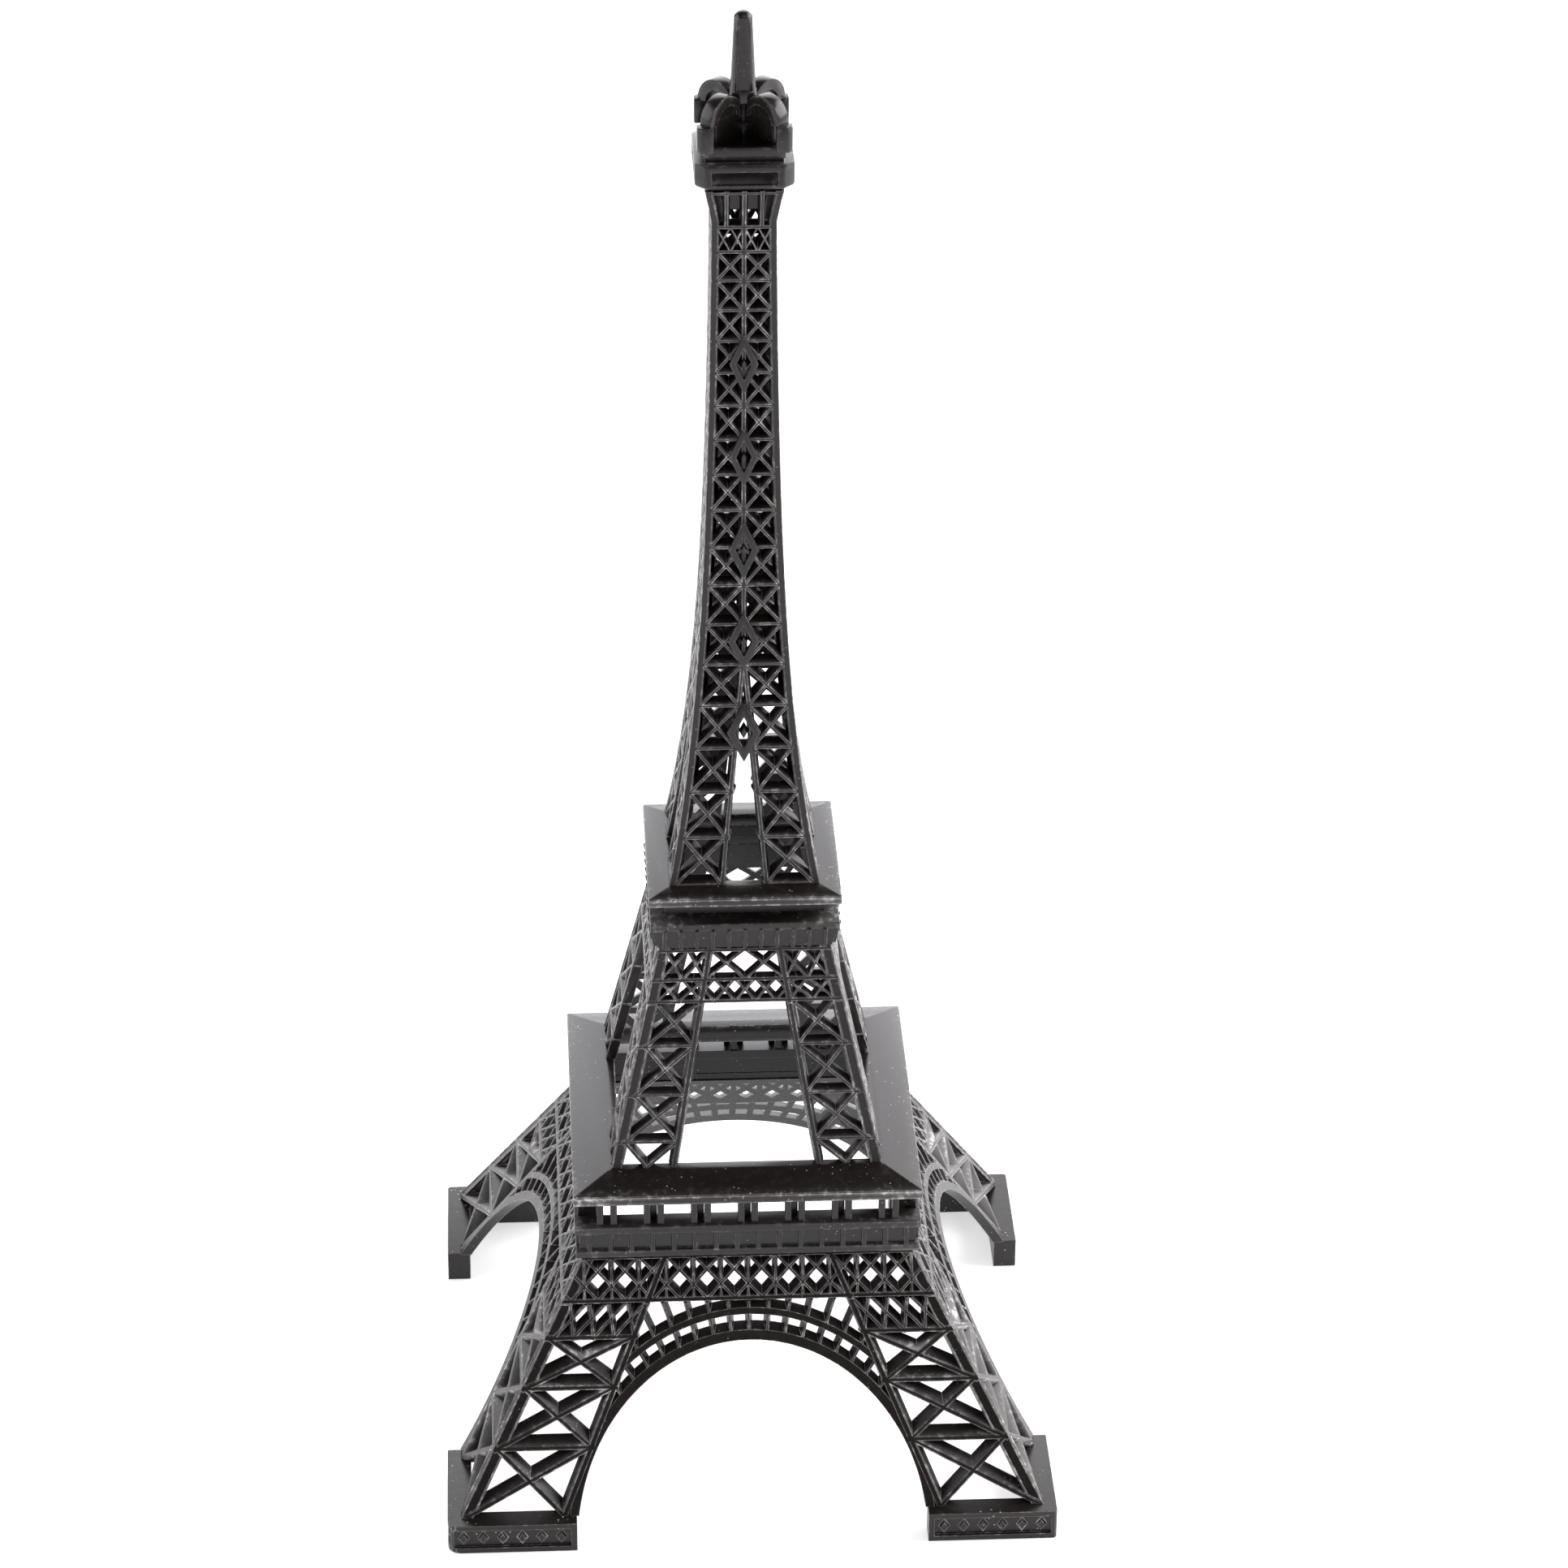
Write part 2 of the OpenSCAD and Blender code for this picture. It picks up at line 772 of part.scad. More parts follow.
turned(0) foot();  // foot_front_right
turned(1) foot();  // foot_back_right
turned(2) foot();  // foot_back_left
turned(3) foot();  // foot_front_left
turned(0) leg();  // leg_front_right
turned(1) leg();  // leg_back_right
turned(2) leg();  // leg_back_left
turned(3) leg();  // leg_front_left
turned(0) arch();  // arch_front
turned(1) arch();  // arch_right
turned(2) arch();  // arch_back
turned(3) arch();  // arch_left
turned(0) girder();  // girder_front
turned(1) girder();  // girder_right
turned(2) girder();  // girder_back
turned(3) girder();  // girder_left
floor1_frieze();
floor1_columns();
floor1_roof();
turned(0) upper_leg();  // upper_leg_front_right
turned(1) upper_leg();  // upper_leg_back_right
turned(2) upper_leg();  // upper_leg_back_left
turned(3) upper_leg();  // upper_leg_front_left
turned(0) upper_belt();  // upper_belt_front
turned(1) upper_belt();  // upper_belt_right
turned(2) upper_belt();  // upper_belt_back
turned(3) upper_belt();  // upper_belt_left
floor2_frieze();
floor2_gallery_wall();
floor2_roof();
turned(0) shaft_face();  // shaft_front
turned(1) shaft_face();  // shaft_right
turned(2) shaft_face();  // shaft_back
turned(3) shaft_face();  // shaft_left
medallion(0);  // medallion_1
medallion(1);  // medallion_2
medallion(2);  // medallion_3
medallion(3);  // medallion_4
medallion(4);  // medallion_5
capital_box();
balcony();
lantern_ribs();
lantern_core();
mast();
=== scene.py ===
"""Miniature lattice tower, a thin-walled casting with a satin black finish.

The pieces are laid out in millimetres on the bench. Each wall is laid out flat, fused from
drafted bars, trimmed, leaned back to its face, and only then brought to metres.
"""

import math

import bpy
from mathutils import Matrix, Vector


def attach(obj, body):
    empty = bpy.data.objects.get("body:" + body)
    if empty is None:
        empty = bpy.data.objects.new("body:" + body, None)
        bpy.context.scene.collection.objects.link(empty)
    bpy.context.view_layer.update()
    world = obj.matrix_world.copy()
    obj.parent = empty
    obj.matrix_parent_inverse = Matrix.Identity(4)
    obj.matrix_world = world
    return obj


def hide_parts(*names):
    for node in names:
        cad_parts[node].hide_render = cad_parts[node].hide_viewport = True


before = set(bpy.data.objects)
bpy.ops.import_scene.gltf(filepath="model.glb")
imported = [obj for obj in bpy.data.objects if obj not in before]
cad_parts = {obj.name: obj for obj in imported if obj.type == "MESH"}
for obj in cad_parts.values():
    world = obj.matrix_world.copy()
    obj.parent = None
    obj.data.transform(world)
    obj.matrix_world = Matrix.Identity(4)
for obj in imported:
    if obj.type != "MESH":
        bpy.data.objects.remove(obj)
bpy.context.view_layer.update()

CORNERS = ["front_right", "back_right", "back_left", "front_left"]
SIDES = ["front", "right", "back", "left"]

# ---------------------------------------------------------------- the tower's measures, in mm
FOOT_H = 3.9
FOOT_ARM = 15.3
FOOT_T = 2.8
BASE = 72.3 / 2
GIRDER_Z = 25.6
FLOOR1_Z = 30.9
LEDGE1_W = 20.35
FRIEZE1_W = 19.9
FRIEZE1_WELL = 18.2
DECK1_Z = 34.2
DECK1_W = 20.5
GALLERY1_Z = 35.35
COLUMN_PITCH = 5.55
ROOF1_Z = 38.4
ROOF1_W = 20.6
WELL1 = 15.0
DECK1_WELL = 17.8
MID_Z = 40.7
BELT_Z = 60.45
BELT_RAIL_Z = 63.45
FLOOR2_Z = 67.4
BAND2_Z = 70.1
FRIEZE2_WELL = 9.0
GALLERY2_Z = 71.6
WALL2_W = 9.3
WALL2_WELL = 8.0
ROOF2_Z = 73.5
ROOF2_W = 11.25
WELL2 = 7.6
SHAFT_Z = 75.0
SHAFT_ROWS = 17
FORK_ROW = 5
CROSSES_TOP = 153.05
SLOTS_Z = 156.0
CAPITAL_Z = 160.6
BALCONY_Z = 164.5
SPRING_Z = 168.3
CROWN_Z = 171.05
TIP_Z = 180.0
LEG_LEVELS = [FOOT_H, 10.95, 17.1, 22.25]
MID_LEVELS = [43.8, 49.5, 55.45, 60.85]
ARCH_Z = 0.85
ARCH_R = 20.7
LEG_DEPTH = 1.4
LEG_BAR = 1.6
MID_DEPTH = 1.2
MID_BAR = 1.1
BELT_DEPTH = 0.95
BELT_BAR = 0.75
SHAFT_DEPTH = 1.5
SHAFT_BAR = 1.2
CORNER_FACE = 1.4
MID_CORNER_FACE = 1.25


def between(a, b, t):
    return a + (b - a) * t


def along(z, z0, z1, a, b):
    return between(a, b, (z - z0) / (z1 - z0))


def leg_w(z):
    return along(z, FOOT_H, FLOOR1_Z, 34.6, 19.4)


def leg_post(z):
    return along(z, FOOT_H, FLOOR1_Z, 22.3, 9.6)


def mid_w(z):
    return along(z, MID_Z, FLOOR2_Z, 16.05, 10.1)


def mid_post(z):
    return along(z, MID_Z, FLOOR2_Z, 8.6, 4.05)


def shaft_w(z):
    flare = 0.8 * (max(0.0, z - SLOTS_Z) / (CAPITAL_Z - SLOTS_Z)) ** 2
    return (6.7 + 10.8 * math.exp((SHAFT_Z - z) / 27)) / 2 + flare


def shaft_row(i):
    t = i / SHAFT_ROWS
    return between(SHAFT_Z, CROSSES_TOP, t * (1 + 0.265 * (1 - t)))


def shaft_post(z):
    return max(0.0, 0.095 * (shaft_row(FORK_ROW) - z))


# ---------------------------------------------------------------- bench work
def lay_aside():
    """Leave edit mode and let go of every piece."""
    if bpy.context.mode != "OBJECT":
        bpy.ops.object.mode_set(mode="OBJECT")
    bpy.ops.object.select_all(action="DESELECT")


def take_up(piece):
    """Hold one piece, and nothing else."""
    lay_aside()
    piece.select_set(True)
    bpy.context.view_layer.objects.active = piece
    return piece


def pick(piece, kind, wanted):
    """In edit mode, choose a piece's own vertices, edges or faces by their place."""
    take_up(piece)
    mesh = piece.data
    for parts in (mesh.polygons, mesh.edges, mesh.vertices):
        parts.foreach_set("select", [False] * len(parts))
    for part in getattr(mesh, kind):
        part.select = bool(wanted(part))
    modes = ("vertices", "edges", "polygons")
    bpy.context.tool_settings.mesh_select_mode = [kind == m for m in modes]
    bpy.ops.object.mode_set(mode="EDIT")


def done():
    bpy.ops.object.mode_set(mode="OBJECT")


def face_outwards():
    """In edit mode, point every face of the held piece outwards, and leave edit mode."""
    bpy.ops.mesh.select_all(action="SELECT")
    bpy.ops.mesh.normals_make_consistent(inside=False)
    done()


def ends(piece, edge):
    """Where an edge's two ends lie."""
    return [piece.data.vertices[v].co for v in edge.vertices]


def settled():
    """The primitive just added, with its place and size taken into its mesh."""
    bpy.ops.object.transform_apply()
    return bpy.context.object


def block(x0, x1, y0, y1, z0, z1):
    """A block between two corners."""
    lay_aside()
    bpy.ops.mesh.primitive_cube_add(
        size=1,
        location=((x0 + x1) / 2, (y0 + y1) / 2, (z0 + z1) / 2),
        scale=(x1 - x0, y1 - y0, z1 - z0),
    )
    return settled()


def use(piece, kind, **settings):
    """Put a modifier on a piece and apply it. A cut or fused piece has to stay closed."""
    take_up(piece)
    modifier = piece.modifiers.new("work", kind)
    for name, value in settings.items():
        setattr(modifier, name, value)
    bpy.ops.object.modifier_apply(modifier=modifier.name)
    if kind == "BOOLEAN" and len(piece.data.loops) != 2 * len(piece.data.edges):
        raise RuntimeError("open shell: " + piece.name)
    return piece


def soften(piece, width, segments=2, angle=30):
    """Round the sharp edges of a piece."""
    return use(
        piece, "BEVEL", width=width, segments=segments, limit_method="ANGLE",
        angle_limit=math.radians(angle), use_clamp_overlap=True,
    )


def fuse(members):
    """Cast loose members into one piece."""
    take_up(members[0])
    bpy.ops.object.transform_apply()
    if len(members) == 1:
        return members[0]
    tray = bpy.data.collections.new("tray")
    for member in members[1:]:
        tray.objects.link(member)
    use(
        members[0], "BOOLEAN", operation="UNION", operand_type="COLLECTION",
        collection=tray, solver="MANIFOLD",
    )
    for member in members[1:]:
        bpy.data.objects.remove(member)
    bpy.data.collections.remove(tray)
    return members[0]


def cut_out(piece, tool):
    """Cut the shape of a tool out of a piece."""
    use(piece, "BOOLEAN", operation="DIFFERENCE", object=tool, solver="MANIFOLD")
    bpy.data.objects.remove(tool)
    return piece


def trim(piece, point, outward):
    """Saw off whatever lies beyond a plane."""
    reach = 400
    outward = Vector(outward).normalized()
    lay_aside()
    bpy.ops.mesh.primitive_cube_add(
        size=reach, location=Vector(point) + outward * (reach / 2),
        rotation=outward.to_track_quat("Z", "Y").to_euler(),
    )
    return cut_out(piece, settled())


def lean(piece, half_width):
    """Set a piece that was laid out flat against the slope of its face."""
    for vertex in piece.data.vertices:
        vertex.co.y -= half_width(vertex.co.z)


def copy_of(piece, matrix):
    """A separate copy, moved or turned in its own mesh."""
    copy = piece.copy()
    copy.data = piece.data.copy()
    bpy.context.scene.collection.objects.link(copy)
    copy.data.transform(matrix)
    return copy


def turned(piece, quarter):
    return copy_of(piece, Matrix.Rotation(math.pi / 2 * quarter, 4, "Z"))


def turned_and_dropped(piece, quarter):
    """The piece's copy a number of quarter turns round the tower; the piece itself goes."""
    copy = turned(piece, quarter)
    bpy.data.objects.remove(piece)
    return copy


def four(piece):
    """The piece and its three copies round the tower."""
    return [piece] + [turned(piece, k) for k in (1, 2, 3)]


def join(pieces):
    """Lay pieces together as one, without fusing them."""
    take_up(pieces[0])
    for piece in pieces:
        piece.select_set(True)
    bpy.ops.object.join()
    return pieces[0]


def hand_in(piece, name, finish, nodes):
    """Bring a finished piece to metres, name it and set it in the frame."""
    take_up(piece)
    piece.data.transform(Matrix.Scale(0.001, 4))
    bpy.ops.object.shade_smooth_by_angle(angle=math.radians(32))
    piece.name = name
    piece.data.materials.clear()
    piece.data.materials.append(finish)
    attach(piece, "root")
    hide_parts(*nodes)


# ---------------------------------------------------------------- drafted bars
def drafted_bar(ridge):
    """A bar one long, one deep and one wide at its base, narrowed to a softened ridge outside."""
    bar = block(0, 1, 0, 1, -0.5, 0.5)
    pick(bar, "polygons", lambda f: f.normal.y < -0.9)
    bpy.ops.transform.resize(value=(1, 1, ridge), center_override=(0.5, 0, 0))
    done()

    def long_and_outside(edge):
        a, b = ends(bar, edge)
        return max(a.y, b.y) < 0.01 and abs(a.x - b.x) > 0.5

    pick(bar, "edges", long_and_outside)
    bpy.ops.mesh.bevel(offset=0.08, segments=2, affect="EDGES")
    done()
    bar.hide_render = True
    return bar


RIB = drafted_bar(0.3)
STRAP = drafted_bar(0.5)
POST = drafted_bar(0.72)


def lay(pattern, p, q, width, depth, over=None, sunk=0.0):
    """Lay a bar of a flat drawing from p to q, each given across and up, and a little over."""
    run = Vector((q[0] - p[0], q[1] - p[1]))
    over = width * 0.3 if over is None else over
    step = run.normalized() * over
    bar = pattern.copy()
    bar.data = pattern.data.copy()
    bar.hide_render = False
    bpy.context.scene.collection.objects.link(bar)
    bar.location = (p[0] - step.x, sunk, p[1] - step.y)
    bar.rotation_euler = (0, -math.atan2(run.y, run.x), 0)
    bar.scale = (run.length + 2 * over, depth - sunk, width)
    return bar


def lay_cross(bl, br, tl, tr, width, depth):
    """Two crossed bars in a bay, from its bottom corners to its top ones."""
    return [lay(RIB, bl, tr, width, depth), lay(RIB, br, tl, width, depth)]


def corner_strip(half_width, z0, z1, side, depth, face=CORNER_FACE):
    """The corner post of a wall: a sunk strip between two beads, later mitred at the corner."""
    width = 3.2
    half_flat = 0.36 * width * 1.13
    lines = []
    for inset, pattern, wide, sunk in (
        (face - half_flat, POST, width, 0.14),
        (0.05, RIB, 0.6, 0.0),
        (face, RIB, 0.5, 0.0),
    ):
        p, q = [(side * (half_width(z) - inset), z) for z in (z0 - 1, z1 + 1)]
        lines.append(lay(pattern, p, q, wide, depth, 0, sunk))
    return lines


def share_out(a, b, i, n):
    """The two ends of the i-th of n equal steps from a to b."""
    return [between(a, b, (i + k) / n) for k in (0, 1)]


def set_up(members, half_width, z0, z1, mitres, curve=()):
    """Fuse a flat wall, trim its ends, lean it to its face and mitre its corners.

    A wall that leans along a curve is first creased across at the curve's heights.
    """
    wall = fuse(members)
    trim(wall, (0, 0, z0), (0, 0, -1))
    trim(wall, (0, 0, z1), (0, 0, 1))
    for z in curve:
        pick(wall, "polygons", lambda f: True)
        bpy.ops.mesh.bisect(plane_co=(0, 0, z), plane_no=(0, 0, 1))
        done()
    lean(wall, half_width)
    for side in mitres:
        trim(wall, (0, 0, 0), (side, 1, 0))
    return wall


def pick_uprights(piece, reach):
    """Choose the upright edges that stand further out than a reach, both across and deep."""
    def wanted(edge):
        a, b = ends(piece, edge)
        return min(abs(a.x), abs(b.x), abs(a.y), abs(b.y)) > reach and abs(a.z - b.z) > 0.1

    pick(piece, "edges", wanted)


def lozenge(place, half_width, half_height, depth, tip):
    """A lozenge that stands out from a face and narrows to its tip."""
    lay_aside()
    bpy.ops.mesh.primitive_cone_add(
        vertices=4, radius1=1, radius2=tip, depth=depth, location=place,
        rotation=(math.pi / 2, 0, 0), scale=(half_width, half_height, 1),
    )
    return settled()


# ---------------------------------------------------------------- lower storey
def leg_half(side):
    """One outer face of a lower leg: two posts, three crossed bays and a row of diamonds."""

    def at(x, z):
        return (side * x, z)

    post = [at(leg_post(z), z) for z in (FOOT_H - 1, GIRDER_Z + 1)]
    members = [lay(STRAP, post[0], post[1], 1.35, LEG_DEPTH, 0)]
    members += corner_strip(leg_w, FOOT_H, GIRDER_Z, side, LEG_DEPTH)
    for z in LEG_LEVELS[1:]:
        members.append(lay(RIB, at(leg_post(z), z), at(leg_w(z) - 0.2, z), LEG_BAR, LEG_DEPTH))
    for za, zb in zip(LEG_LEVELS, LEG_LEVELS[1:]):
        members += lay_cross(
            at(leg_post(za), za), at(leg_w(za) - 0.5, za),
            at(leg_post(zb), zb), at(leg_w(zb) - 0.5, zb), LEG_BAR, LEG_DEPTH,
        )
    za, zb = LEG_LEVELS[3], GIRDER_Z + 0.4
    for i in range(4):
        xa, xb = [share_out(leg_post(z), leg_w(z) - 1, i, 4) for z in (za, zb)]
        members += lay_cross(
            at(xa[0], za), at(xa[1], za), at(xb[0], zb), at(xb[1], zb), 0.95, LEG_DEPTH
        )
    return set_up(members, leg_w, FOOT_H, GIRDER_Z, [side])


def hoop(r0, r1, ridge0, ridge1, depth):
    """A curved rim, drafted like the bars, spun round the arch's centre."""
    lay_aside()
    bpy.ops.mesh.primitive_plane_add(size=1, location=(r0 + 0.5, 0.5, ARCH_Z))
    rim = settled()
    for x, wanted in (
        (ridge0, lambda v: v.co.y < 0.5 and v.co.x < r0 + 0.5),
        (ridge1, lambda v: v.co.y < 0.5 and v.co.x > r0 + 0.5),
        (r1, lambda v: v.co.y > 0.5 and v.co.x > r0 + 0.5),
    ):
        spot = next(v for v in rim.data.vertices if wanted(v))
        spot.co.x = x
    for vertex in rim.data.vertices:
        vertex.co.y *= depth
    pick(rim, "polygons", lambda f: True)
    bpy.ops.mesh.spin(
        steps=72, angle=math.pi, center=(0, 0, ARCH_Z), axis=(0, 1, 0), dupli=False
    )
    face_outwards()
    return rim


def arch_wall():
    """An arch between two legs: two rims, with bars across the gap and up into the corners."""
    members = [
        hoop(ARCH_R, ARCH_R + 1.45, ARCH_R + 0.1, ARCH_R + 1.15, LEG_DEPTH),
        hoop(ARCH_R + 2.55, ARCH_R + 3.75, ARCH_R + 2.75, ARCH_R + 3.45, LEG_DEPTH),
    ]
    for i in range(-9, 10):
        a = math.radians(5.6 * i)
        reach = (ARCH_R + 0.9, ARCH_R + 9.5)
        p, q = [(r * math.sin(a), ARCH_Z + r * math.cos(a)) for r in reach]
        members.append(lay(RIB, p, q, 0.85, LEG_DEPTH, 0))
    wall = fuse(members)
    trim(wall, (0, 0, FOOT_H), (0, 0, -1))
    trim(wall, (0, 0, GIRDER_Z), (0, 0, 1))
    rise = FLOOR1_Z - FOOT_H
    run = leg_post(FLOOR1_Z) - leg_post(FOOT_H)
    for side in (-1, 1):
        trim(wall, (side * (leg_post(FOOT_H) - 0.3), 0, FOOT_H), (side * rise, 0, -run))
    lean(wall, leg_w)
    return wall


def girder_wall():
    """The girder under the first floor: two rails, uprights and a lattice of diamonds."""
    pitch = 3.24
    low, top = GIRDER_Z + 0.4, FLOOR1_Z - 0.4
    members = [lay(STRAP, (-26, z), (26, z), 0.95, LEG_DEPTH, 0) for z in (low, top)]
    for i in range(-6, 7):
        members.append(lay(RIB, (i * pitch, low), (i * pitch, top), 0.75, LEG_DEPTH))
    for i in range(-8, 8):
        m = (i + 0.5) * pitch
        for side in (-1, 1):
            members.append(lay(RIB, (m, low), (m + side * pitch * 1.5, top), 0.95, LEG_DEPTH))
    for side in (-1, 1):
        p, q = [(side * leg_post(z), z) for z in (GIRDER_Z - 1, FLOOR1_Z + 1)]
        members.append(lay(STRAP, p, q, 1.3, LEG_DEPTH, 0))
        members += corner_strip(leg_w, GIRDER_Z, FLOOR1_Z, side, LEG_DEPTH)
    return set_up(members, leg_w, GIRDER_Z, FLOOR1_Z, [-1, 1])


def corner_of(half):
    """A leg from its two half walls, which meet in the corner's mitre."""
    return fuse([half(1), turned_and_dropped(half(-1), 1)])


def foot(corner):
    """An L-shaped foot with a rounded corner. Each arm's sunk panel holds a row of lozenges."""
    margin = 0.7
    lozenge_count = 6
    arm = block(BASE - FOOT_ARM, BASE, -BASE, FOOT_T - BASE, 0, FOOT_H)
    side = block(BASE - FOOT_T, BASE, -BASE, FOOT_ARM - BASE, 0, FOOT_H)
    body = fuse([arm, side])
    pick_uprights(body, BASE - 0.01)
    bpy.ops.mesh.bevel(offset=corner, segments=4, affect="EDGES")
    done()
    step = (FOOT_ARM - 2 * margin) / lozenge_count
    x0 = BASE - FOOT_ARM + margin
    tool = block(x0, BASE - margin, -BASE - 1, 0.4 - BASE, margin, FOOT_H - margin)
    lozenges = [
        lozenge((x0 + step * (i + 0.5), 0.3 - BASE, FOOT_H / 2), 0.75, 1.12, 0.45, 0.55)
        for i in range(lozenge_count)
    ]
    flip = Matrix(((0, -1, 0, 0), (-1, 0, 0, 0), (0, 0, 1, 0), (0, 0, 0, 1)))
    other_tool = copy_of(tool, flip)
    others = [copy_of(each, flip) for each in lozenges]
    for piece in [other_tool] + others:
        take_up(piece)
        bpy.ops.object.mode_set(mode="EDIT")
        face_outwards()
    cut_out(body, tool)
    cut_out(body, other_tool)
    soften(body, 0.22)
    return join([body] + lozenges + others)


# ---------------------------------------------------------------- floors
def stepped_block(outline):
    """A square block, drawn up from a plate through the widths and heights given."""
    lay_aside()
    bpy.ops.mesh.primitive_plane_add(size=2 * outline[0][0], location=(0, 0, outline[0][1]))
    piece = settled()
    bpy.ops.object.mode_set(mode="EDIT")
    bpy.ops.mesh.select_all(action="SELECT")
    for (w0, z0), (w1, z1) in zip(outline, outline[1:]):
        bpy.ops.mesh.extrude_region_move(TRANSFORM_OT_translate={"value": (0, 0, z1 - z0)})
        if w1 != w0:
            bpy.ops.transform.resize(value=(w1 / w0, w1 / w0, 1), center_override=(0, 0, z1))
    face_outwards()
    return piece


def open_well(piece, w, z0, z1):
    """Cut a square well through a piece."""
    return cut_out(piece, block(-w, w, -w, w, z0, z1))


def drafted_block(x0, x1, y0, y1, z0, z1, share):
    """A small upright block whose outer face is narrower than its root."""
    piece = block(x0, x1, y0, y1, z0, z1)
    pick(piece, "polygons", lambda f: f.normal.y < -0.9)
    bpy.ops.transform.resize(value=(share, 1, 1), center_override=((x0 + x1) / 2, y0, z0))
    done()
    return piece


def floor1_band():
    """The first floor's ledge, its frieze of upright ribs, and the deck above them."""
    ledge = soften(stepped_block([(LEDGE1_W, FLOOR1_Z), (LEDGE1_W, FLOOR1_Z + 1)]), 0.16)
    frieze = stepped_block([(FRIEZE1_W, FLOOR1_Z + 0.9), (FRIEZE1_W, DECK1_Z + 0.1)])
    deck = soften(stepped_block([(DECK1_W, DECK1_Z), (DECK1_W, GALLERY1_Z)]), 0.2)
    rib = drafted_block(-0.36, 0.36, -20.32, -19.7, FLOOR1_Z + 0.8, DECK1_Z + 0.2, 0.7)
    ribs = [copy_of(rib, Matrix.Translation(((i - 7.5) * 2.5, 0, 0))) for i in range(16)]
    bpy.data.objects.remove(rib)
    ribs = four(join(ribs))
    open_well(ledge, FRIEZE1_WELL, 30, 33)
    open_well(frieze, FRIEZE1_WELL, 30, 35)
    open_well(deck, DECK1_WELL, 33, 37)
    return join([ledge, frieze, deck] + ribs)


def floor1_posts():
    """Pairs of square columns along the edge, and single posts along the deck's inner edge."""
    post = soften(block(-0.4, 0.4, -0.4, 0.4, GALLERY1_Z - 0.1, ROOF1_Z + 0.1), 0.09, 1)
    row = []
    for i in range(-3, 4):
        for s in (-0.8, 0.8):
            row.append(copy_of(post, Matrix.Translation((i * COLUMN_PITCH + s, -19.7, 0))))
    for i in range(-2, 3):
        place = (i * COLUMN_PITCH, -DECK1_WELL - 0.54, 0)
        row.append(copy_of(post, Matrix.Translation(place)))
    bpy.data.objects.remove(post)
    return join(four(join(row)))


def roof(w, z0, fascia, slope, rise, well):
    """A low hipped roof: an upright edge, a sloped rim and a flat top with a well."""
    top = z0 + fascia
    piece = stepped_block([(w, z0), (w, top), (w - slope, top + rise)])
    open_well(piece, well, z0 - 1, top + rise + 1)
    return soften(piece, 0.14, 2, 8)


def floor2_band():
    """The second floor's leaning frieze of upright ribs, and the band above them."""
    frieze = stepped_block([(10.15, FLOOR2_Z), (10.9, BAND2_Z)])
    band = stepped_block(
        [(10.7, BAND2_Z - 0.05), (11.05, BAND2_Z), (11.05, 71.0), (WALL2_W, GALLERY2_Z)]
    )
    open_well(frieze, FRIEZE2_WELL, 66, 72)
    open_well(band, FRIEZE2_WELL, 66, 73)
    soften(band, 0.14)
    rib = drafted_block(-0.27, 0.27, -11.25, -10.2, FLOOR2_Z, BAND2_Z + 0.1, 0.75)
    for vertex in rib.data.vertices:
        vertex.co.y += 0.6 * (BAND2_Z - vertex.co.z) / 2.7
    ribs = [copy_of(rib, Matrix.Translation((i * 1.87, 0, 0))) for i in range(-5, 6)]
    bpy.data.objects.remove(rib)
    return join([frieze, band] + four(join(ribs)))


# ---------------------------------------------------------------- middle storey
def upper_leg_half(side):
    """One outer face of a middle leg: two posts, crossed bays and a forked bottom bay."""

    def at(x, z):
        return (side * x, z)

    p, q = [at(mid_post(z), z) for z in (MID_Z - 1, BELT_Z + 1)]
    members = [lay(STRAP, p, q, 1.15, MID_DEPTH, 0)]
    members += corner_strip(mid_w, MID_Z, BELT_Z, side, MID_DEPTH, MID_CORNER_FACE)
    for z in MID_LEVELS[:3]:
        members.append(lay(RIB, at(mid_post(z), z), at(mid_w(z) - 0.2, z), 1.05, MID_DEPTH))
    for za, zb in zip(MID_LEVELS, MID_LEVELS[1:]):
        members += lay_cross(
            at(mid_post(za), za), at(mid_w(za) - 1, za),
            at(mid_post(zb), zb), at(mid_w(zb) - 1, zb), MID_BAR, MID_DEPTH,
        )
    za = MID_LEVELS[0]
    foot_x = (mid_post(MID_Z) + mid_w(MID_Z) - 1) / 2
    for x in (mid_post(za), mid_w(za) - 1):
        members.append(lay(RIB, at(x, za), at(foot_x, MID_Z), MID_BAR, MID_DEPTH))
    return set_up(members, mid_w, MID_Z, BELT_Z, [side])


